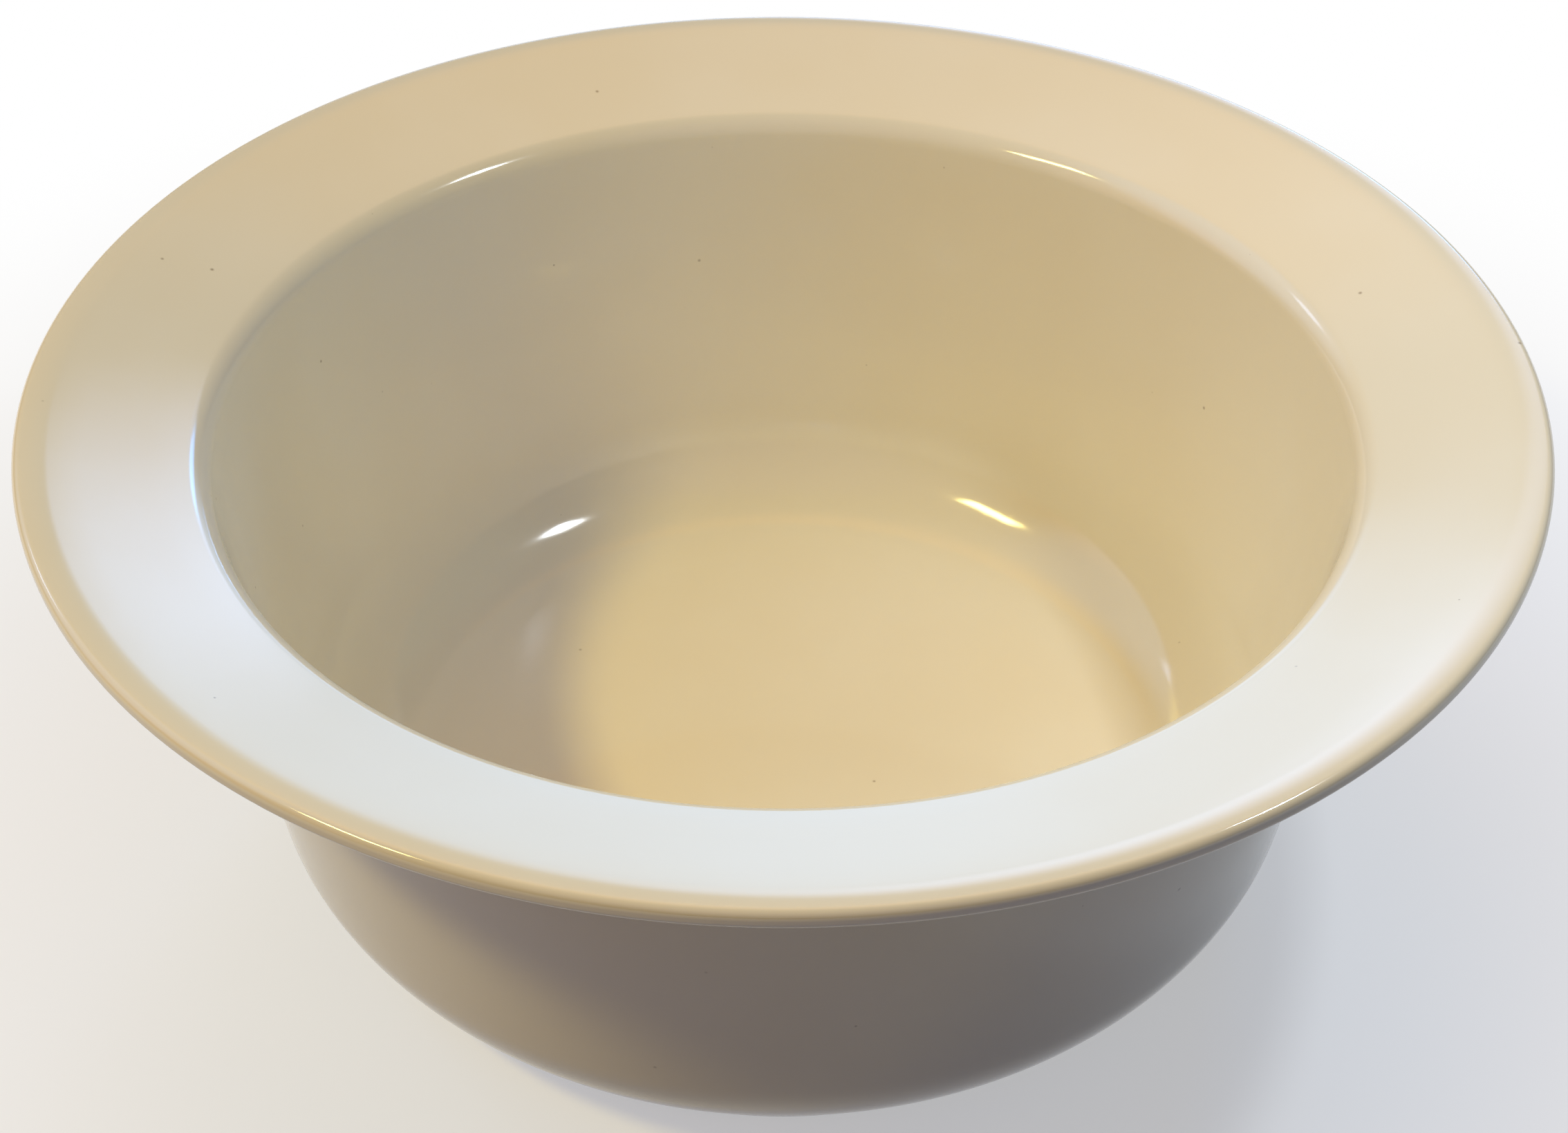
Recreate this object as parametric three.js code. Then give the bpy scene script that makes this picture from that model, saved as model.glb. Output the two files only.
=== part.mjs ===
// Round serving bowl of glazed earthenware with a wide dished flange, a rounded lip and a low turned foot.
// Everything is turned about +Z. Millimetres, with the origin on the table under the middle of the bowl.
// The fired clay is one turned shell. The glaze lies on it as coats that end where the real ones end.
import * as THREE from 'three';

// Driving dimensions, measured over the glaze
const rimDiameter = 270;
const bowlHeight = 104; // to the level top of the lip
const lipWidth = 4; // from the rim inwards, to where the flange's line meets the lip's level top
const lipHeight = 3.5; // of the lip's outer face
const lipEdgeRadius = 1.6; // of the lip's two outer edges
const lipRollRadius = 15; // between the flange and the lip's top
const lipUndersideRadius = 5; // between the lip's underside and the flange's
const mouthDiameter = 205.8; // where the line of the inside wall meets the line of the flange
const mouthEdgeRadius = 5.5; // between the inside wall and the flange
const flangeSlope = 16.9; // degrees, rising outwards
const flangeThickness = 3.8;
const underFlangeRadius = 7; // between the flange and the outside wall
const wallTaper = 9; // degrees from upright, widening upwards
const wallThickness = 7.2;
const insideCornerRadius = 24; // between the floor and the inside wall
const heelSlope = 33; // degrees, of the outside between its round and the foot
const heelThickness = 10; // of the shell where the floor turns into the wall
const outsideCornerRadius = 29; // between the outside wall and the heel
const floorThickness = 6.5;
const footWidth = 7; // of the ring that the bowl stands on
const bareFootHeight = 1.4; // of the clay left without glaze above the table
const glazedFootHeight = 2; // of the glazed band above it, up to the heel
const glazedRecessHeight = 1.8; // of the same band inside the foot ring
const recessCornerRadius = 1.5;
const footEdgeRadius = 0.8;
const glazeThickness = 0.4;
const bondThickness = 0.05; // of the layer between glaze and clay, left empty so that the two never overlap

// How finely the turned shapes are divided
const turnSteps = 44;
const cornerSteps = 4;
const smallCornerSteps = 2;
const lipSteps = 3;

// Sizes that follow from them
const rimRadius = rimDiameter / 2;
const footHeight = bareFootHeight + glazedFootHeight;
const recessHeight = bareFootHeight + glazedRecessHeight;
const floorHeight = recessHeight + floorThickness;
const clayDepth = glazeThickness + bondThickness;

// Points and directions in the half section: x is the distance from the axis, y is the height
const at = (radius, height) => new THREE.Vector2(radius, height);
const heading = (degrees) => {
  const turn = THREE.MathUtils.degToRad(degrees);
  return at(Math.cos(turn), Math.sin(turn));
};
const moved = (start, direction, distance) => start.clone().addScaledVector(direction, distance);
const degreesOf = (direction) => THREE.MathUtils.radToDeg(Math.atan2(direction.y, direction.x));

// Where two straight lines cross, each given by a point and a direction
function crossing(pointA, directionA, pointB, directionB) {
  const between = pointB.clone().sub(pointA);
  return moved(pointA, directionA, between.cross(directionB) / directionA.cross(directionB));
}

// Points along an arc, both ends included
function arc(centre, radius, startDegrees, endDegrees, steps) {
  return Array.from({ length: steps + 1 }, (_, step) =>
    moved(centre, heading(startDegrees + ((endDegrees - startDegrees) * step) / steps), radius));
}

// A corner between two straight stretches, rounded by as much of the radius as the stretches leave room for
function rounded(before, corner, after, radius, steps) {
  const back = before.clone().sub(corner);
  const onward = after.clone().sub(corner);
  const room = Math.min(back.length(), onward.length());
  back.normalize();
  onward.normalize();
  const halfAngle = Math.acos(back.dot(onward)) / 2;
  const reach = Math.min(radius / Math.tan(halfAngle), room);
  const centre = moved(corner, back.clone().add(onward).normalize(), reach / Math.cos(halfAngle));
  const start = degreesOf(moved(corner, back, reach).sub(centre));
  const end = degreesOf(moved(corner, onward, reach).sub(centre));
  const turn = THREE.MathUtils.euclideanModulo(end - start + 180, 360) - 180;
  return arc(centre, reach * Math.tan(halfAngle), start, start + turn, steps);
}

// A line of points moved to its right by a distance, which here is from the glaze into the clay
function shifted(points, distance) {
  const stretches = points.slice(1).map((point, index) => point.clone().sub(points[index]).normalize());
  return points.map((point, index) => {
    const onward = stretches[Math.min(index, stretches.length - 1)];
    const back = stretches[Math.max(index - 1, 0)];
    const middle = back.clone().add(onward).normalize();
    return moved(point, at(middle.y, -middle.x), distance / middle.dot(onward));
  });
}

// Straight lines that the section is built on
const wallUp = heading(90 - wallTaper);
const wallOut = heading(-wallTaper);
const flangeOut = heading(flangeSlope);
const flangeUp = heading(90 + flangeSlope);
const lipTop = at(rimRadius - lipWidth, bowlHeight);
const rimTop = at(rimRadius, bowlHeight);
const rimLow = at(rimRadius, bowlHeight - lipHeight);
const flangeUnderside = moved(lipTop, flangeUp, -flangeThickness);
const lipUnderside = crossing(flangeUnderside, flangeOut, rimLow, heading(0));
const mouth = crossing(lipTop, flangeOut, at(mouthDiameter / 2, 0), heading(90));
const outsideWall = moved(mouth, wallOut, wallThickness);
const underFlange = crossing(flangeUnderside, flangeOut, outsideWall, wallUp);
const floorCorner = crossing(mouth, wallUp, at(0, floorHeight), heading(0));

// The heel keeps its thickness from the round inside the bowl, and the foot takes its place from the heel
const insideRoundReach = insideCornerRadius * Math.tan(THREE.MathUtils.degToRad((90 - wallTaper) / 2));
const insideRoundCentre = at(floorCorner.x - insideRoundReach, floorHeight + insideCornerRadius);
const heelOut = heading(heelSlope);
const heelDown = heading(heelSlope - 90);
const heelLine = moved(insideRoundCentre, heelDown, insideCornerRadius + heelThickness);
const footTop = crossing(heelLine, heelOut, at(0, footHeight), heading(0));
const heelCorner = crossing(heelLine, heelOut, outsideWall, wallUp);
const footOutside = footTop.x;
const footInside = footOutside - footWidth;

// Face of the glaze from the crest, round the lip and down the outside, to the bare clay of the foot
const outsideFace = [
  ...rounded(lipTop, rimTop, rimLow, lipEdgeRadius, lipSteps),
  ...rounded(rimTop, rimLow, lipUnderside, lipEdgeRadius, lipSteps),
  ...rounded(rimLow, lipUnderside, underFlange, lipUndersideRadius, smallCornerSteps),
  ...rounded(lipUnderside, underFlange, heelCorner, underFlangeRadius, cornerSteps),
  ...rounded(underFlange, heelCorner, footTop, outsideCornerRadius, cornerSteps),
  footTop,
  at(footOutside, bareFootHeight),
];

// Face of the glaze from the middle of the floor, up the wall and over the flange, to the crest of the lip
const crest = outsideFace[0];
const insideFace = [
  at(0, floorHeight),
  ...rounded(at(0, floorHeight), floorCorner, mouth, insideCornerRadius, cornerSteps),
  ...rounded(floorCorner, mouth, lipTop, mouthEdgeRadius, smallCornerSteps),
  ...rounded(mouth, lipTop, rimTop, lipRollRadius, cornerSteps),
  crest,
];

// Face of the glaze inside the foot ring, from the bare clay to the middle
const recessEdge = at(footInside, bareFootHeight);
const recessCorner = at(footInside, recessHeight);
const recessMiddle = at(0, recessHeight);
const recessFace = [
  recessEdge,
  ...rounded(recessEdge, recessCorner, recessMiddle, recessCornerRadius, smallCornerSteps),
  recessMiddle,
];

// Undersides of the coats, with the inside and outside coats meeting at the crest
const mainFace = [...insideFace, ...outsideFace.slice(1)];
const mainUnderside = shifted(mainFace, glazeThickness);
const crestIndex = insideFace.length - 1;
const insideUnderside = mainUnderside.slice(0, crestIndex + 1);
const outsideUnderside = mainUnderside.slice(crestIndex);
const recessUnderside = shifted(recessFace, glazeThickness);

// Bare ring that the bowl stands on
const ringOutside = footOutside - clayDepth;
const ringInside = footInside + clayDepth;
const outerEdge = at(ringOutside, 0);
const innerEdge = at(ringInside, 0);
const standingRing = [
  ...rounded(at(ringOutside, bareFootHeight), outerEdge, innerEdge, footEdgeRadius, smallCornerSteps),
  ...rounded(outerEdge, innerEdge, at(ringInside, bareFootHeight), footEdgeRadius, smallCornerSteps),
];
const claySection = [...shifted(mainFace, clayDepth), ...standingRing, ...shifted(recessFace, clayDepth)];

// A section turned about +Z. The sections above run clockwise, and a lathe takes them the other way round.
const backwards = (points) => [...points].reverse();
const turned = (section) => new THREE.LatheGeometry(backwards(section), turnSteps).rotateX(Math.PI / 2);

const ivoryGlaze = { color: 0xe8dec4, roughness: 0.12, metalness: 0 };
const firedClay = { color: 0xd9cbb0, roughness: 0.85, metalness: 0 };

function piece(name, section, finish) {
  const mesh = new THREE.Mesh(turned(section), new THREE.MeshStandardMaterial(finish));
  mesh.name = name;
  return mesh;
}

const bowl = new THREE.Group();
bowl.add(
  piece('clay_body', claySection, firedClay),
  piece('inner_glaze', [...insideFace, ...backwards(insideUnderside)], ivoryGlaze),
  piece('outer_glaze', [...outsideFace, ...backwards(outsideUnderside), crest], ivoryGlaze),
  piece('base_glaze', [...backwards(recessUnderside), ...recessFace], ivoryGlaze),
);

export default bowl;
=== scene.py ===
import math
import bmesh
import bpy
from mathutils import Matrix, Vector
from mathutils.geometry import intersect_line_line


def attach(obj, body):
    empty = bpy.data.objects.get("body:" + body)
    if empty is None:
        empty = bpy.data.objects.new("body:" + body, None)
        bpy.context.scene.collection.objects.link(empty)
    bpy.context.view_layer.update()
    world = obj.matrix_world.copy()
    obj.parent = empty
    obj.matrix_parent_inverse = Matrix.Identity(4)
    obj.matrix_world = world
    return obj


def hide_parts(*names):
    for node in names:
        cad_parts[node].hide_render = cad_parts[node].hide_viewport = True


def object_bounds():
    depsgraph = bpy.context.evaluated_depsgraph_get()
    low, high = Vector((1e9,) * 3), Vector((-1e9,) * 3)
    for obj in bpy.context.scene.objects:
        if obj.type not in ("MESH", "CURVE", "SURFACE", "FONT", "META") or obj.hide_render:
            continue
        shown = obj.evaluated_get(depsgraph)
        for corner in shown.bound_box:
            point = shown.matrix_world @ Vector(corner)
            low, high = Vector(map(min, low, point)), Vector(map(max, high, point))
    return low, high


# A glazed earthenware serving bowl: turned pieces, their finishes, then the studio
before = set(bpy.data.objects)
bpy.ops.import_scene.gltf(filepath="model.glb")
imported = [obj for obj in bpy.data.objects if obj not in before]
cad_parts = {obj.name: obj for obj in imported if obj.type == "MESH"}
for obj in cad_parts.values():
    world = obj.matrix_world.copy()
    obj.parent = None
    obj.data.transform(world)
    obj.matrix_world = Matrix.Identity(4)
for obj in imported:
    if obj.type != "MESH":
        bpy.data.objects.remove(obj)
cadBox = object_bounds()
mm = 0.001
rimRadius = (cadBox[1].x - cadBox[0].x) / 2
bowlHeight = cadBox[1].z
print("frame loaded, rim radius", round(rimRadius / mm, 1), "mm, height", round(bowlHeight / mm, 1), "mm")

# The half section that every piece is turned from, over the glaze; lengths in metres, slopes in degrees
bowlShape = {
    "mouthRadius": 102.9 * mm,         # where the inside wall's line meets the flange's line
    "mouthEdgeRadius": 5.5 * mm,
    "flangeSlope": 16.9,               # rising outwards
    "flangeThickness": 3.8 * mm,
    "lipWidth": 4.0 * mm,              # of the lip's level top, before its corners are rounded
    "lipHeight": 3.5 * mm,
    "lipEdgeRadius": 1.6 * mm,
    "lipRollRadius": 15.0 * mm,        # between the flange and the lip's top
    "lipUndersideRadius": 5.0 * mm,
    "underFlangeRadius": 7.0 * mm,
    "wallTaper": 9,                    # from upright, widening upwards
    "wallThickness": 7.2 * mm,
    "insideCornerRadius": 24.0 * mm,
    "heelSlope": 33,
    "heelThickness": 10.0 * mm,
    "outsideCornerRadius": 29.0 * mm,
    "heelFootRadius": 1.2 * mm,        # where the heel meets the foot
    "floorThickness": 6.5 * mm,
    "footWidth": 7.0 * mm,
    "bareFootHeight": 1.4 * mm,        # clay left without glaze above the table
    "glazedFootHeight": 2.0 * mm,
    "glazedRecessHeight": 1.8 * mm,
    "recessCornerRadius": 1.5 * mm,
    "footEdgeRadius": 0.8 * mm,
}
turning = {
    "steps": 240,                      # faces round the bowl
    "arcStep": 4.5,                    # degrees between points on a rounded corner
    "longest": 7.0 * mm,               # straight stretches are cut shorter than this
    "fewestSteps": 3,                  # on a rounded corner
    "merge": 0.001 * mm,               # points closer than this become one
    "sharpAngle": 40,                  # edges that turn by more than this stay crisp
}


def heading(degrees):
    return Vector((math.cos(math.radians(degrees)), 0, math.sin(math.radians(degrees))))


def spot(radius, height):
    return Vector((radius, 0, height))


def meet(pointA, degreesA, pointB, degreesB):
    crossing = intersect_line_line(pointA, pointA + heading(degreesA), pointB, pointB + heading(degreesB))
    return crossing[0]


def sectionLines(inset=0.0):
    # Corner points of the section, moved into the clay by inset
    shape = bowlShape
    slope = shape["flangeSlope"]
    wallAngle = 90 - shape["wallTaper"]
    flangeUp = heading(90 + slope)
    flangeFace = spot(rimRadius - shape["lipWidth"], bowlHeight)
    mouth = meet(flangeFace, slope, spot(shape["mouthRadius"], 0), 90)
    footTopHeight = shape["bareFootHeight"] + shape["glazedFootHeight"]
    recessHeight = shape["bareFootHeight"] + shape["glazedRecessHeight"]
    floorHeight = recessHeight + shape["floorThickness"]
    floorEdge = meet(mouth, wallAngle, spot(0, floorHeight), 0)
    roundReach = shape["insideCornerRadius"] * math.tan(math.radians(wallAngle / 2))
    roundCentre = spot(floorEdge.x - roundReach, floorHeight + shape["insideCornerRadius"])
    heelDepth = shape["insideCornerRadius"] + shape["heelThickness"]
    heelOver = roundCentre + heading(shape["heelSlope"] - 90) * heelDepth
    footRadius = meet(heelOver, shape["heelSlope"], spot(0, footTopHeight), 0).x

    wallOut = heading(-shape["wallTaper"])
    insideWall = mouth + wallOut * inset
    outsideWall = mouth + wallOut * (shape["wallThickness"] - inset)
    flangeTop = flangeFace - flangeUp * inset
    underside = flangeFace - flangeUp * (shape["flangeThickness"] - inset)
    heelFace = roundCentre + heading(shape["heelSlope"] - 90) * (heelDepth - inset)
    top = bowlHeight - inset
    low = bowlHeight - shape["lipHeight"] + inset
    footOutside = footRadius - inset
    return {
        "floorMiddle": spot(0, floorHeight - inset),
        "floorEdge": meet(insideWall, wallAngle, spot(0, floorHeight - inset), 0),
        "mouth": meet(insideWall, wallAngle, flangeTop, slope),
        "lipTop": meet(flangeTop, slope, spot(0, top), 0),
        "crest": spot(rimRadius - shape["lipEdgeRadius"], top),
        "rimTop": spot(rimRadius - inset, top),
        "rimLow": spot(rimRadius - inset, low),
        "lipUnderside": meet(underside, slope, spot(0, low), 0),
        "underFlange": meet(underside, slope, outsideWall, wallAngle),
        "heel": meet(heelFace, shape["heelSlope"], outsideWall, wallAngle),
        "footTop": meet(heelFace, shape["heelSlope"], spot(footOutside, 0), 90),
        "footOutside": footOutside,
        "footInside": footRadius - shape["footWidth"] + inset,
        "recessHeight": recessHeight + inset,
        "roundCentre": roundCentre,
    }


def roundedWire(bm, corners):
    # corners is a list of (point, radius); each corner with a radius is bevelled into an arc
    verts = [bm.verts.new(point) for point, radius in corners]
    for start, end in zip(verts, verts[1:]):
        bm.edges.new((start, end))
    for index in range(1, len(corners) - 1):
        point, radius = corners[index]
        if radius <= 0:
            continue
        came = point - corners[index - 1][0]
        goes = corners[index + 1][0] - point
        turn = came.angle(goes)
        segments = max(turning["fewestSteps"], math.ceil(math.degrees(turn) / turning["arcStep"]))
        bmesh.ops.bevel(bm, geom=[verts[index]], offset=radius * math.tan(turn / 2), offset_type="OFFSET",
                        segments=segments, profile=0.5, affect="VERTICES", material=-1)
    bmesh.ops.remove_doubles(bm, verts=bm.verts[:], dist=turning["merge"])
    for edge in bm.edges[:]:
        cuts = int(edge.calc_length() / turning["longest"])
        if cuts > 0:
            bmesh.ops.subdivide_edges(bm, edges=[edge], cuts=cuts)


def turnRound(bm):
    bmesh.ops.spin(bm, geom=bm.verts[:] + bm.edges[:], cent=(0, 0, 0), axis=(0, 0, 1), dvec=(0, 0, 0),
                   angle=math.tau, steps=turning["steps"], use_merge=True)
    bmesh.ops.remove_doubles(bm, verts=bm.verts[:], dist=turning["merge"])
    bmesh.ops.recalc_face_normals(bm, faces=bm.faces[:])


def faceTowards(bm, place, direction):
    # Turns the whole skin over if its face nearest to place looks away from direction
    nearest = min(bm.faces, key=lambda face: (face.calc_center_median() - place).length)
    if nearest.normal.dot(direction) < 0:
        bmesh.ops.reverse_faces(bm, faces=bm.faces[:])


def addPiece(name, bm, nodes, finish):
    mesh = bpy.data.meshes.new(name)
    bm.to_mesh(mesh)
    bm.free()
    mesh.shade_smooth()
    mesh.set_sharp_from_angle(angle=math.radians(turning["sharpAngle"]))
    piece = bpy.data.objects.new(name, mesh)
    bpy.context.scene.collection.objects.link(piece)
    mesh.materials.append(finish)
    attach(piece, "root")
    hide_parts(*nodes)
    print("made", name, "with", len(mesh.polygons), "faces")


# Shader node helpers
def addNode(tree, kind, place, **values):
    node = tree.nodes.new(kind)
    node.location = place
    for key, value in values.items():
        setattr(node, key, value)
    return node


def newGroup(name, inputs, outputs):
    tree = bpy.data.node_groups.new(name, "ShaderNodeTree")
    for label, kind, value in inputs:
        socket = tree.interface.new_socket(label, in_out="INPUT", socket_type=kind)
        if value is not None:
            socket.default_value = value
    for label, kind in outputs:
        tree.interface.new_socket(label, in_out="OUTPUT", socket_type=kind)
    start = addNode(tree, "NodeGroupInput", (-900, 0))
    end = addNode(tree, "NodeGroupOutput", (900, 0))
    return tree, start, end


def mathNode(tree, operation, place, first, second=None):
    node = addNode(tree, "ShaderNodeMath", place, operation=operation)
    for index, value in enumerate((first, second)):
        if value is None:
            continue
        if isinstance(value, (int, float)):
            node.inputs[index].default_value = value
        else:
            tree.links.new(value, node.inputs[index])
    return node.outputs[0]


def rampNode(tree, place, value, low, high, toLow=0.0, toHigh=1.0):
    node = addNode(tree, "ShaderNodeMapRange", place, interpolation_type="SMOOTHSTEP")
    tree.links.new(value, node.inputs["Value"])
    for label, amount in (("From Min", low), ("From Max", high), ("To Min", toLow), ("To Max", toHigh)):
        if isinstance(amount, (int, float)):
            node.inputs[label].default_value = amount
        else:
            tree.links.new(amount, node.inputs[label])
    return node.outputs["Result"]


def radiusAndHeight(tree, vector):
    # Distance from the bowl's axis, and height above the table
    parts = addNode(tree, "ShaderNodeSeparateXYZ", (-700, 0))
    tree.links.new(vector, parts.inputs[0])
    flat = addNode(tree, "ShaderNodeCombineXYZ", (-540, 120))
    tree.links.new(parts.outputs["X"], flat.inputs["X"])
    tree.links.new(parts.outputs["Y"], flat.inputs["Y"])
    length = addNode(tree, "ShaderNodeVectorMath", (-380, 120), operation="LENGTH")
    tree.links.new(flat.outputs[0], length.inputs[0])
    return length.outputs["Value"], parts.outputs["Z"]


def ringShadeGroup():
    # 1 on a level ring of that radius and height, falling to 0 at the reach
    tree, start, end = newGroup("ringShade", [
        ("Vector", "NodeSocketVector", None),
        ("Radius", "NodeSocketFloat", 0.1),
        ("Height", "NodeSocketFloat", 0.0),
        ("Reach", "NodeSocketFloat", 0.01)], [("Mask", "NodeSocketFloat")])
    radius, height = radiusAndHeight(tree, start.outputs["Vector"])
    across = mathNode(tree, "SUBTRACT", (-220, 120), radius, start.outputs["Radius"])
    above = mathNode(tree, "SUBTRACT", (-220, -60), height, start.outputs["Height"])
    acrossSquare = mathNode(tree, "MULTIPLY", (-60, 120), across, across)
    aboveSquare = mathNode(tree, "MULTIPLY", (-60, -60), above, above)
    total = mathNode(tree, "ADD", (100, 40), acrossSquare, aboveSquare)
    distance = mathNode(tree, "SQRT", (260, 40), total)
    mask = rampNode(tree, (420, 40), distance, 0.0, start.outputs["Reach"], 1.0, 0.0)
    tree.links.new(mask, end.inputs["Mask"])
    return tree


smallestSpeck = 0.04                       # radius, as a share of a cell


def specksGroup():
    # Sparse round pin specks
    tree, start, end = newGroup("specks", [
        ("Vector", "NodeSocketVector", None),
        ("Scale", "NodeSocketFloat", 300.0),
        ("Size", "NodeSocketFloat", 0.1),
        ("Share", "NodeSocketFloat", 0.3)], [("Mask", "NodeSocketFloat")])
    cells = addNode(tree, "ShaderNodeTexVoronoi", (-600, 0))
    tree.links.new(start.outputs["Vector"], cells.inputs["Vector"])
    tree.links.new(start.outputs["Scale"], cells.inputs["Scale"])
    picked = addNode(tree, "ShaderNodeSeparateColor", (-380, -160))
    tree.links.new(cells.outputs["Color"], picked.inputs[0])
    chosen = mathNode(tree, "LESS_THAN", (-200, -160), picked.outputs["Red"], start.outputs["Share"])
    sized = mathNode(tree, "MULTIPLY_ADD", (-200, -320), picked.outputs["Green"], start.outputs["Size"])
    sized.node.inputs[2].default_value = smallestSpeck
    dot = rampNode(tree, (0, 40), cells.outputs["Distance"], 0.0, sized, 1.0, 0.0)
    mask = mathNode(tree, "MULTIPLY", (220, 0), dot, chosen)
    tree.links.new(mask, end.inputs["Mask"])
    return tree


ringWander = {"scale": 14.0, "distance": 4.0 * mm}


def turnedLinesGroup():
    # Faint rings left by the turning, which wander a little on their way round the bowl
    tree, start, end = newGroup("turnedLines", [
        ("Vector", "NodeSocketVector", None),
        ("Pitch", "NodeSocketFloat", 500.0)], [("Height", "NodeSocketFloat")])
    radius, height = radiusAndHeight(tree, start.outputs["Vector"])
    around = addNode(tree, "ShaderNodeTexNoise", (-380, -200))
    around.inputs["Scale"].default_value = ringWander["scale"]
    around.inputs["Detail"].default_value = 1.0
    tree.links.new(start.outputs["Vector"], around.inputs["Vector"])
    along = mathNode(tree, "ADD", (-200, 60), radius, height)
    drift = mathNode(tree, "MULTIPLY", (-200, -200), around.outputs["Fac"], ringWander["distance"])
    drifted = mathNode(tree, "ADD", (-40, 60), along, drift)
    rings = addNode(tree, "ShaderNodeTexNoise", (140, 60), noise_dimensions="1D")
    rings.inputs["Detail"].default_value = 3.0
    tree.links.new(drifted, rings.inputs["W"])
    tree.links.new(start.outputs["Pitch"], rings.inputs["Scale"])
    tree.links.new(rings.outputs["Fac"], end.inputs["Height"])
    return tree


hairline = {"stretch": (0.05, 1.0, 0.4), "scale": 700.0, "core": 0.02, "edge": 0.14}


def hairlinesGroup():
    # Short hairlines that all run one way; a material lays several of these over each other
    tree, start, end = newGroup("hairlines", [
        ("Vector", "NodeSocketVector", None),
        ("Angle", "NodeSocketFloat", 0.0),
        ("Share", "NodeSocketFloat", 0.5)], [("Mask", "NodeSocketFloat")])
    turn = addNode(tree, "ShaderNodeVectorRotate", (-700, 0), rotation_type="Z_AXIS")
    tree.links.new(start.outputs["Vector"], turn.inputs["Vector"])
    tree.links.new(start.outputs["Angle"], turn.inputs["Angle"])
    stretch = addNode(tree, "ShaderNodeMapping", (-520, 0))
    stretch.inputs["Scale"].default_value = hairline["stretch"]
    tree.links.new(turn.outputs[0], stretch.inputs["Vector"])
    cells = addNode(tree, "ShaderNodeTexVoronoi", (-320, 0), feature="F1")
    cells.inputs["Scale"].default_value = hairline["scale"]
    tree.links.new(stretch.outputs[0], cells.inputs["Vector"])
    picked = addNode(tree, "ShaderNodeSeparateColor", (-120, -160))
    tree.links.new(cells.outputs["Color"], picked.inputs[0])
    chosen = mathNode(tree, "LESS_THAN", (60, -160), picked.outputs["Red"], start.outputs["Share"])
    line = rampNode(tree, (60, 40), cells.outputs["Distance"], hairline["core"], hairline["edge"],
                    1.0, 0.0)
    mask = mathNode(tree, "MULTIPLY", (260, 0), line, chosen)
    tree.links.new(mask, end.inputs["Mask"])
    return tree


ringShade = ringShadeGroup()
specks = specksGroup()
turnedLines = turnedLinesGroup()
hairlines = hairlinesGroup()


def useGroup(tree, group, place, vector, **values):
    node = addNode(tree, "ShaderNodeGroup", place, node_tree=group)
    tree.links.new(vector, node.inputs["Vector"])
    for label, value in values.items():
        node.inputs[label].default_value = value
    return node.outputs[0]


def mixColour(tree, place, factor, first, second, blend="MIX"):
    node = addNode(tree, "ShaderNodeMix", place, data_type="RGBA", blend_type=blend)
    tree.links.new(factor, node.inputs["Factor"])
    for socket, value in ((node.inputs[6], first), (node.inputs[7], second)):
        if isinstance(value, tuple):
            socket.default_value = value
        else:
            tree.links.new(value, socket)
    return node.outputs[2]


def newFinish(name):
    finish = bpy.data.materials.new(name)
    finish.use_nodes = True
    tree = finish.node_tree
    shader = tree.nodes["Principled BSDF"]
    shader.location = (1200, 0)
    tree.nodes["Material Output"].location = (1500, 0)
    place = addNode(tree, "ShaderNodeTexCoord", (-1200, 0))
    return finish, tree, shader, place.outputs["Object"]


glaze = {
    "ivory": (0.80, 0.725, 0.56, 1),
    "milky": (0.815, 0.752, 0.605, 1),     # where the coat is a little thicker
    "darkRingTone": (0.745, 0.655, 0.47, 1),     # darker tone, laid in rings in the inside corner, under the flange and near the foot
    "thin": (0.76, 0.665, 0.485, 1),       # over the lip, where the clay shows through
    "speck": (0.38, 0.31, 0.22, 1),
    "speckScale": 330.0,
    "speckSize": 0.15,
    "speckShare": 0.03,                    # share of the pattern's cells that hold a speck
    "cloudScale": 16.0,                    # of the drift from ivory to milky
    "gloss": 0.07,
    "smear": 0.035,                        # how much duller the handled patches are
    "smearScale": 45.0,
    "worn": 0.19,                          # roughness along the hairlines
    "hairlineAngles": (12, 71, 128),
    "wave": 0.016 * mm,                    # height of the coat's slow waves
    "waveScale": 95.0,
    "ringPitch": 420.0,
    "ringShare": 0.22,                     # of the turned rings in the waves
    "bend": 1.52,                          # index of refraction
}


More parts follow.
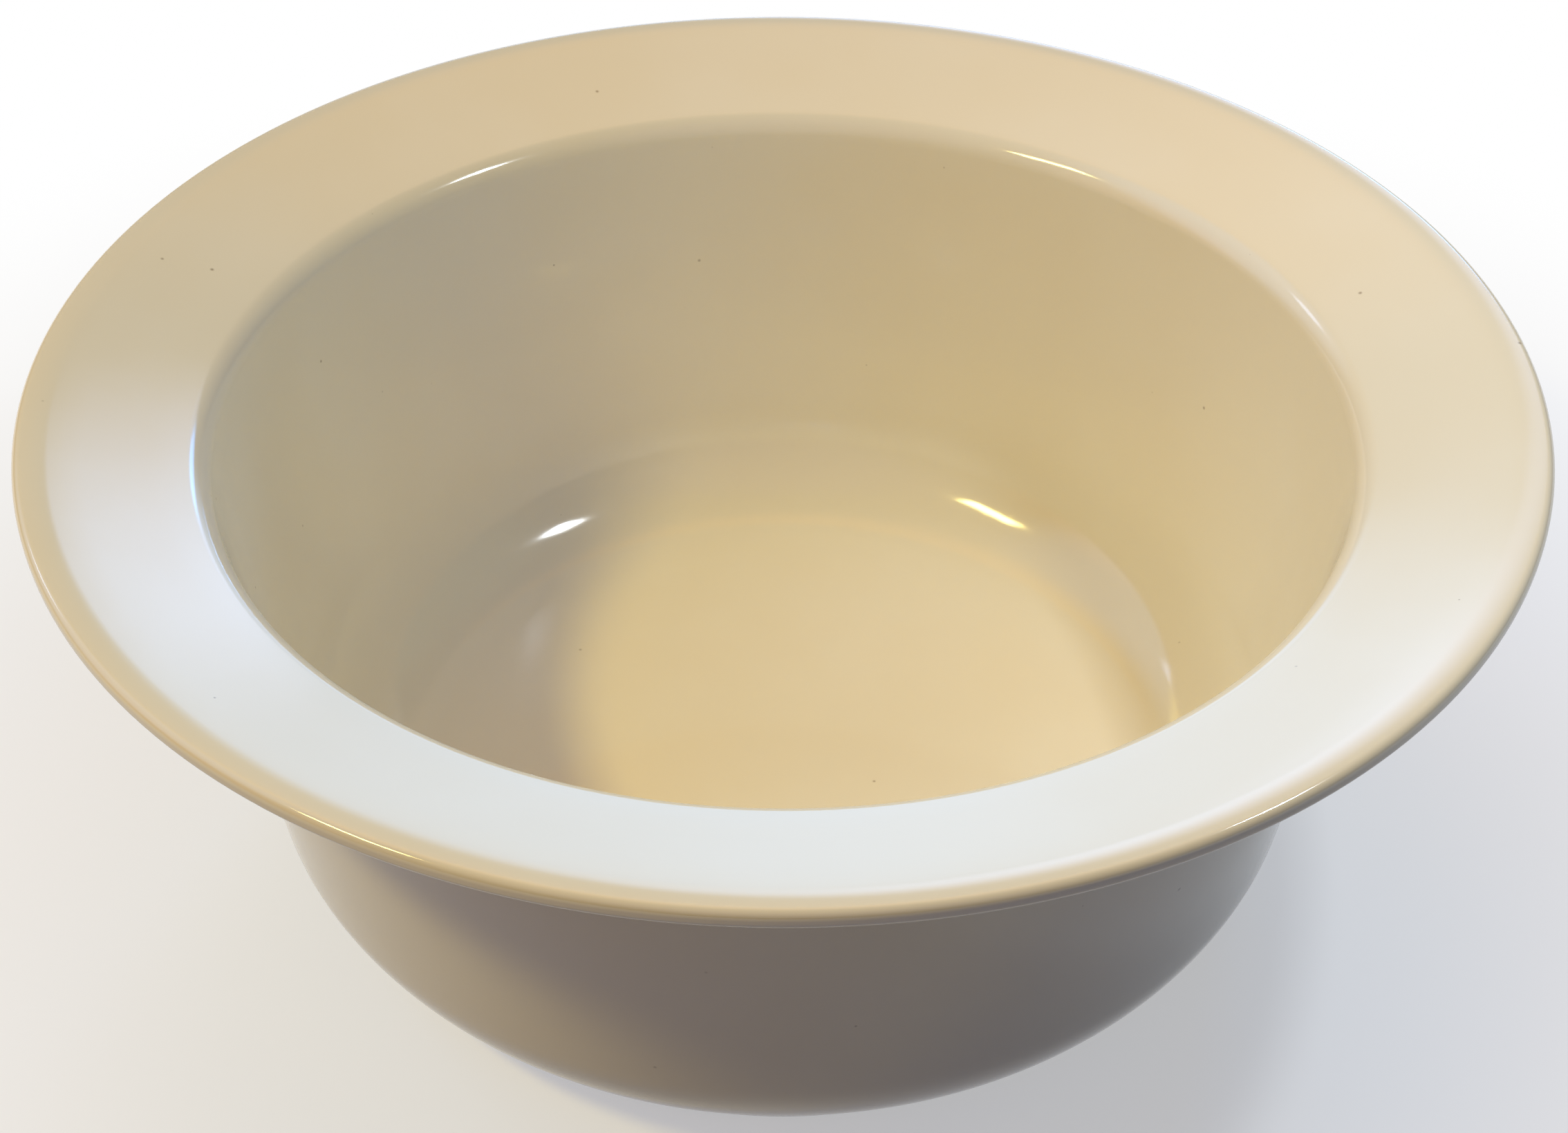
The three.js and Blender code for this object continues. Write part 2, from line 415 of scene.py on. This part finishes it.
def glazeFinish(name, darkRings, thins, wear):
    # Both ring lists hold level rings, each (radius, height, reach, strength); the first darkens the
    # colour towards its rings, the second turns it to the thin tone
    finish, tree, shader, place = newFinish(name)
    cloud = addNode(tree, "ShaderNodeTexNoise", (-900, 400))
    cloud.inputs["Scale"].default_value = glaze["cloudScale"]
    cloud.inputs["Detail"].default_value = 3.0
    tree.links.new(place, cloud.inputs["Vector"])
    colour = mixColour(tree, (-500, 400), rampNode(tree, (-700, 400), cloud.outputs["Fac"], 0.35, 0.7),
                       glaze["ivory"], glaze["milky"])
    rings = [(ring, "darkRingTone") for ring in darkRings] + [(ring, "thin") for ring in thins]
    for index, ((radius, height, reach, amount), tone) in enumerate(rings):
        ring = {"Radius": radius, "Height": height, "Reach": reach}
        mask = useGroup(tree, ringShade, (-500, 100 - 200 * index), place, **ring)
        share = mathNode(tree, "MULTIPLY", (-300, 100 - 200 * index), mask, amount)
        colour = mixColour(tree, (-100 + 180 * index, 300), share, colour, glaze[tone])
    pins = useGroup(tree, specks, (300, 600), place, Scale=glaze["speckScale"], Size=glaze["speckSize"],
                    Share=glaze["speckShare"])
    colour = mixColour(tree, (760, 300), pins, colour, glaze["speck"])
    tree.links.new(colour, shader.inputs["Base Color"])

    smear = addNode(tree, "ShaderNodeTexNoise", (-900, -900))
    smear.inputs["Scale"].default_value = glaze["smearScale"]
    smear.inputs["Detail"].default_value = 4.0
    tree.links.new(place, smear.inputs["Vector"])
    gloss = glaze["gloss"]
    dull = gloss + glaze["smear"]
    roughness = rampNode(tree, (-500, -900), smear.outputs["Fac"], 0.3, 0.75, gloss, dull)
    lines = 0.0
    for index, angle in enumerate(glaze["hairlineAngles"]):
        row = -1100 - 200 * index
        mask = useGroup(tree, hairlines, (-500, row), place, Angle=math.radians(angle), Share=wear)
        lines = mathNode(tree, "MAXIMUM", (-300, row), lines, mask)
    worn = mathNode(tree, "MULTIPLY", (0, -1000), lines, glaze["worn"] - gloss)
    rough = mathNode(tree, "ADD", (200, -900), roughness, worn)
    tree.links.new(rough, shader.inputs["Roughness"])

    waves = addNode(tree, "ShaderNodeTexNoise", (-900, -1900))
    waves.inputs["Scale"].default_value = glaze["waveScale"]
    waves.inputs["Detail"].default_value = 1.5
    tree.links.new(place, waves.inputs["Vector"])
    turned = useGroup(tree, turnedLines, (-500, -2100), place, Pitch=glaze["ringPitch"])
    turnedShare = mathNode(tree, "MULTIPLY", (-300, -2100), turned, glaze["ringShare"])
    relief = mathNode(tree, "ADD", (0, -1900), waves.outputs["Fac"], turnedShare)
    bump = addNode(tree, "ShaderNodeBump", (900, -500))
    bump.inputs["Distance"].default_value = glaze["wave"]
    tree.links.new(relief, bump.inputs["Height"])
    tree.links.new(bump.outputs["Normal"], shader.inputs["Normal"])
    shader.inputs["IOR"].default_value = glaze["bend"]
    return finish


clay = {
    "fired": (0.60, 0.50, 0.36, 1),
    "dusty": (0.70, 0.61, 0.46, 1),
    "grit": (0.30, 0.235, 0.16, 1),
    "gritScale": 900.0,
    "gritSize": 0.2,
    "gritShare": 0.2,
    "patchScale": 180.0,                   # of the drift from fired to dusty
    "smoothest": 0.78,                     # roughness
    "roughest": 0.92,
    "grain": 0.05 * mm,
    "grainScale": 2400.0,
}


def clayFinish():
    finish, tree, shader, place = newFinish("bareClay")
    patch = addNode(tree, "ShaderNodeTexNoise", (-700, 300))
    patch.inputs["Scale"].default_value = clay["patchScale"]
    patch.inputs["Detail"].default_value = 6.0
    tree.links.new(place, patch.inputs["Vector"])
    colour = mixColour(tree, (-300, 300), rampNode(tree, (-500, 300), patch.outputs["Fac"], 0.35, 0.7),
                       clay["fired"], clay["dusty"])
    grit = useGroup(tree, specks, (-500, 0), place, Scale=clay["gritScale"], Size=clay["gritSize"],
                    Share=clay["gritShare"])
    colour = mixColour(tree, (0, 300), grit, colour, clay["grit"])
    tree.links.new(colour, shader.inputs["Base Color"])
    rough = rampNode(tree, (0, -100), patch.outputs["Fac"], 0.3, 0.8, clay["smoothest"], clay["roughest"])
    tree.links.new(rough, shader.inputs["Roughness"])
    grain = addNode(tree, "ShaderNodeTexNoise", (-700, -400))
    grain.inputs["Scale"].default_value = clay["grainScale"]
    grain.inputs["Detail"].default_value = 3.0
    tree.links.new(place, grain.inputs["Vector"])
    bump = addNode(tree, "ShaderNodeBump", (600, -400))
    bump.inputs["Distance"].default_value = clay["grain"]
    tree.links.new(grain.outputs["Fac"], bump.inputs["Height"])
    tree.links.new(bump.outputs["Normal"], shader.inputs["Normal"])
    return finish


coats = {
    "thickness": 0.4 * mm,
    "clayDepth": 0.45 * mm,                # from the glaze's face to the clay
    "seamFlat": 0.08 * mm,                 # level strip at the crest, where the two main coats meet
    "endRound": 0.16 * mm,                 # where a coat stops above the bare clay
    "endBand": 1.0 * mm,                   # how far above that end its edges are looked for
}
outer = sectionLines()
clayDepth = coats["clayDepth"]
footBand = bowlShape["bareFootHeight"]

insideGlaze = glazeFinish(
    "insideGlaze",
    # darker towards the inside corner where the floor turns up into the wall
    darkRings=[(outer["roundCentre"].x + 16 * mm, outer["floorMiddle"].z + 6 * mm, 22 * mm, 0.55)],
    thins=[(outer["crest"].x, bowlHeight, 7 * mm, 0.45),
           (outer["mouth"].x, outer["mouth"].z, 5 * mm, 0.25)],
    wear=0.10)
outsideGlaze = glazeFinish(
    "outsideGlaze",
    # darker under the flange and just above the foot
    darkRings=[(outer["underFlange"].x, outer["underFlange"].z, 10 * mm, 0.5),
           (outer["footOutside"], footBand, 7 * mm, 0.5)],
    thins=[(outer["crest"].x, bowlHeight, 7 * mm, 0.45)],
    wear=0.05)
bareClay = clayFinish()
print("finishes made")


def insideCorners(lines, inset=0.0):
    shape = bowlShape
    return [
        (lines["floorMiddle"], 0),
        (lines["floorEdge"], shape["insideCornerRadius"] + inset),
        (lines["mouth"], shape["mouthEdgeRadius"] - inset),
        (lines["lipTop"], shape["lipRollRadius"] - inset),
        (lines["crest"], 0),
    ]


def outsideCorners(lines, inset=0.0):
    shape = bowlShape
    lipEdge = shape["lipEdgeRadius"] - inset - coats["seamFlat"]
    return [
        (lines["crest"], 0),
        (lines["rimTop"], lipEdge),
        (lines["rimLow"], lipEdge),
        (lines["lipUnderside"], shape["lipUndersideRadius"] + inset),
        (lines["underFlange"], shape["underFlangeRadius"] + inset),
        (lines["heel"], shape["outsideCornerRadius"] - inset),
        (lines["footTop"], shape["heelFootRadius"] + inset),
        (spot(lines["footOutside"], footBand), 0),
    ]


def recessCorners(lines, inset=0.0):
    return [
        (spot(lines["footInside"], footBand), 0),
        (spot(lines["footInside"], lines["recessHeight"]), bowlShape["recessCornerRadius"] + inset),
        (spot(0, lines["recessHeight"]), 0),
    ]


def coat(corners, place, direction):
    # A skin turned from the corners, facing that direction at place, with its thickness behind it
    bm = bmesh.new()
    roundedWire(bm, corners)
    turnRound(bm)
    faceTowards(bm, place, direction)
    bmesh.ops.solidify(bm, geom=bm.faces[:], thickness=coats["thickness"])
    return bm


def softenEnd(bm):
    # Rounds the crisp edges where the coat stops above the bare clay
    height = footBand + coats["endBand"]
    edges = [edge for edge in bm.edges
             if edge.calc_face_angle(0) > 1 and max(vert.co.z for vert in edge.verts) < height]
    bmesh.ops.bevel(bm, geom=edges, offset=coats["endRound"], offset_type="OFFSET", segments=3,
                    profile=0.5, affect="EDGES", material=-1)


up = Vector((0, 0, 1))
bm = coat(insideCorners(outer), outer["floorMiddle"], up)
addPiece("innerGlazeCoat", bm, ["inner_glaze"], insideGlaze)

bm = coat(outsideCorners(outer), outer["rimTop"], Vector((1, 0, 1)))
softenEnd(bm)
addPiece("outerGlazeCoat", bm, ["outer_glaze"], outsideGlaze)

bm = coat(recessCorners(outer), spot(0, outer["recessHeight"]), -up)
softenEnd(bm)
addPiece("baseGlazeCoat", bm, ["base_glaze"], outsideGlaze)

deep = sectionLines(clayDepth)
ringEdge = bowlShape["footEdgeRadius"]
bm = bmesh.new()
clayCorners = insideCorners(deep, clayDepth) + outsideCorners(deep, clayDepth)[1:]
clayCorners += [(spot(deep["footOutside"], 0), ringEdge), (spot(deep["footInside"], 0), ringEdge)]
clayCorners += recessCorners(deep, clayDepth)
roundedWire(bm, clayCorners)
turnRound(bm)
addPiece("clayBody", bm, ["clay_body"], bareClay)

# Studio: pale floor, soft sky, lamps and the camera
studio = {
    "floorRadius": 6.0,
    "floorDrop": 0.02 * mm,                # just clear of the foot ring
    "fadeFrom": 0.10,                      # from here outwards the floor turns to plain white
    "fadeTo": 0.32,
    "glow": 0.45,                          # share of plain white in the floor right under the bowl
    "floorColour": (0.86, 0.86, 0.86, 1),
    "bounceColour": (0.3, 0.29, 0.29, 1),  # of the light that the floor throws back at the bowl
    "ambient": (0.01, 0.01, 0.01, 1),
}


def addFloor():
    bm = bmesh.new()
    below = Matrix.Translation((0, 0, -studio["floorDrop"]))
    bmesh.ops.create_circle(bm, cap_ends=True, radius=studio["floorRadius"], segments=96, matrix=below)
    mesh = bpy.data.meshes.new("floor")
    bm.to_mesh(mesh)
    bm.free()
    floor = bpy.data.objects.new("floor", mesh)
    bpy.context.scene.collection.objects.link(floor)
    finish = bpy.data.materials.new("paleFloor")
    finish.use_nodes = True
    tree = finish.node_tree
    tree.nodes.clear()
    output = addNode(tree, "ShaderNodeOutputMaterial", (900, 0))
    place = addNode(tree, "ShaderNodeTexCoord", (-700, 200))
    away = addNode(tree, "ShaderNodeVectorMath", (-500, 200), operation="LENGTH")
    tree.links.new(place.outputs["Object"], away.inputs[0])
    fade = rampNode(tree, (-300, 200), away.outputs["Value"], studio["fadeFrom"], studio["fadeTo"],
                    studio["glow"], 1.0)
    ray = addNode(tree, "ShaderNodeLightPath", (-500, -300))
    seen = ray.outputs["Is Camera Ray"]
    for column, label in ((-300, "Is Glossy Ray"), (-100, "Is Transmission Ray")):
        seen = mathNode(tree, "MAXIMUM", (column, -300), seen, ray.outputs[label])
    shown = addNode(tree, "ShaderNodeBsdfDiffuse", (-100, 100))
    shown.inputs["Color"].default_value = studio["floorColour"]
    white = addNode(tree, "ShaderNodeEmission", (-100, 0))
    blend = addNode(tree, "ShaderNodeMixShader", (200, 100))
    tree.links.new(fade, blend.inputs["Fac"])
    tree.links.new(shown.outputs[0], blend.inputs[1])
    tree.links.new(white.outputs[0], blend.inputs[2])
    bounce = addNode(tree, "ShaderNodeBsdfDiffuse", (200, -150))
    bounce.inputs["Color"].default_value = studio["bounceColour"]
    pick = addNode(tree, "ShaderNodeMixShader", (600, 0))
    tree.links.new(seen, pick.inputs["Fac"])
    tree.links.new(bounce.outputs[0], pick.inputs[1])
    tree.links.new(blend.outputs[0], pick.inputs[2])
    tree.links.new(pick.outputs[0], output.inputs["Surface"])
    mesh.materials.append(finish)


def directionOf(azimuth, elevation):
    # Azimuth 0 is behind the bowl (+Y) and -90 on its left
    turn = math.radians(azimuth)
    level = math.cos(math.radians(elevation))
    return Vector((math.sin(turn) * level, math.cos(turn) * level, math.sin(math.radians(elevation))))


# Soft round patches of light in the sky; full and edge are degrees from the middle
sky = {
    "backWindow": {"azimuth": 4, "elevation": 12, "full": 6, "edge": 22, "colour": (0.95, 1.75, 2.95, 1)},
    "highWindow": {"azimuth": 12, "elevation": 25, "full": 4, "edge": 14, "colour": (1.6, 2.1, 3.4, 1)},
    "bluePane": {"azimuth": 19, "elevation": 21, "full": 2, "edge": 7, "colour": (0.5, 3.5, 9.0, 1)},
    "farPane": {"azimuth": -50, "elevation": 31, "full": 1.5, "edge": 5, "colour": (3.5, 4.5, 6.5, 1)},
    "leftSky": {"azimuth": -70, "elevation": 35, "full": 10, "edge": 35, "colour": (0.6, 1.1, 1.9, 1)},
    "rightSky": {"azimuth": 75, "elevation": 30, "full": 10, "edge": 35, "colour": (0.2, 0.3, 0.28, 1)},
    "frontSky": {"azimuth": 180, "elevation": 45, "full": 10, "edge": 40, "colour": (0.1, 0.12, 0.38, 1)},
    "leftWall": {"azimuth": -100, "elevation": 15, "full": 8, "edge": 30, "colour": (0.6, 0.2, 0.04, 1)},
    "ceiling": {"azimuth": -10, "elevation": 63, "full": 8, "edge": 26, "colour": (1.2, 0.52, 0.02, 1)},
}


def addWorld():
    world = bpy.data.worlds.new("studioWorld")
    bpy.context.scene.world = world
    world.use_nodes = True
    tree = world.node_tree
    tree.nodes.clear()
    output = addNode(tree, "ShaderNodeOutputWorld", (900, 0))
    ray = addNode(tree, "ShaderNodeLightPath", (300, 300))
    place = addNode(tree, "ShaderNodeTexCoord", (-900, 0))
    colour = studio["ambient"]
    for index, patch in enumerate(sky.values()):
        facing = addNode(tree, "ShaderNodeVectorMath", (-700, -200 * index), operation="DOT_PRODUCT")
        tree.links.new(place.outputs["Generated"], facing.inputs[0])
        facing.inputs[1].default_value = directionOf(patch["azimuth"], patch["elevation"])
        edge = math.cos(math.radians(patch["edge"]))
        full = math.cos(math.radians(patch["full"]))
        share = rampNode(tree, (-500, -200 * index), facing.outputs["Value"], edge, full)
        colour = mixColour(tree, (-300 + 180 * index, 0), share, colour, patch["colour"], "ADD")
    light = addNode(tree, "ShaderNodeBackground", (450, 0))
    tree.links.new(colour, light.inputs["Color"])
    white = addNode(tree, "ShaderNodeBackground", (450, -150))
    white.inputs["Color"].default_value = (1, 1, 1, 1)
    pick = addNode(tree, "ShaderNodeMixShader", (650, 0))
    tree.links.new(ray.outputs["Is Camera Ray"], pick.inputs["Fac"])
    tree.links.new(light.outputs[0], pick.inputs[1])
    tree.links.new(white.outputs[0], pick.inputs[2])
    tree.links.new(pick.outputs[0], output.inputs["Surface"])


lamps = {
    "leftLamp": {"azimuth": -112, "elevation": 49, "distance": 1.2, "size": (0.26, 0.10),
                 "watts": 6.9, "colour": (1.0, 0.785, 0.23)},
    "rightLamp": {"azimuth": 88, "elevation": 56.6, "distance": 0.423, "size": (0.042, 0.036),
                  "watts": 0.56, "colour": (0.88, 0.95, 1.0)},
}
lampTarget = spot(0, 0.07)


def addLamp(name, lamp):
    light = bpy.data.lights.new(name, "AREA")
    light.shape = "RECTANGLE"
    light.size, light.size_y = lamp["size"]
    light.energy = lamp["watts"]
    light.color = lamp["colour"]
    direction = directionOf(lamp["azimuth"], lamp["elevation"])
    holder = bpy.data.objects.new(name, light)
    holder.location = lampTarget + direction * lamp["distance"]
    holder.rotation_euler = direction.to_track_quat("Z", "Y").to_euler()
    bpy.context.scene.collection.objects.link(holder)


photoCamera = {
    "imageWidth": 2268,
    "focalPixels": 4000,
    "place": Vector((0, -407.8, 385.2)) * mm,
    "pitch": 38.68,                        # degrees down
    "yaw": -0.03,                          # degrees, positive to the left
    "roll": 0.186,
    "sensor": 36.0,
}


def addCamera():
    view = bpy.data.cameras.new("photoCamera")
    view.sensor_width = photoCamera["sensor"]
    view.lens = photoCamera["sensor"] * photoCamera["focalPixels"] / photoCamera["imageWidth"]
    view.clip_start = 0.01
    camera = bpy.data.objects.new("photoCamera", view)
    camera.location = photoCamera["place"]
    turn = Matrix.Rotation(math.radians(photoCamera["yaw"]), 4, "Z")
    tilt = Matrix.Rotation(math.radians(90 - photoCamera["pitch"]), 4, "X")
    lean = Matrix.Rotation(math.radians(photoCamera["roll"]), 4, "Z")
    camera.rotation_euler = (turn @ tilt @ lean).to_euler()
    bpy.context.scene.collection.objects.link(camera)
    bpy.context.scene.camera = camera


addFloor()
addWorld()
for name, lamp in lamps.items():
    addLamp(name, lamp)
addCamera()
bpy.context.scene.view_settings.view_transform = "Standard"
print("studio set")
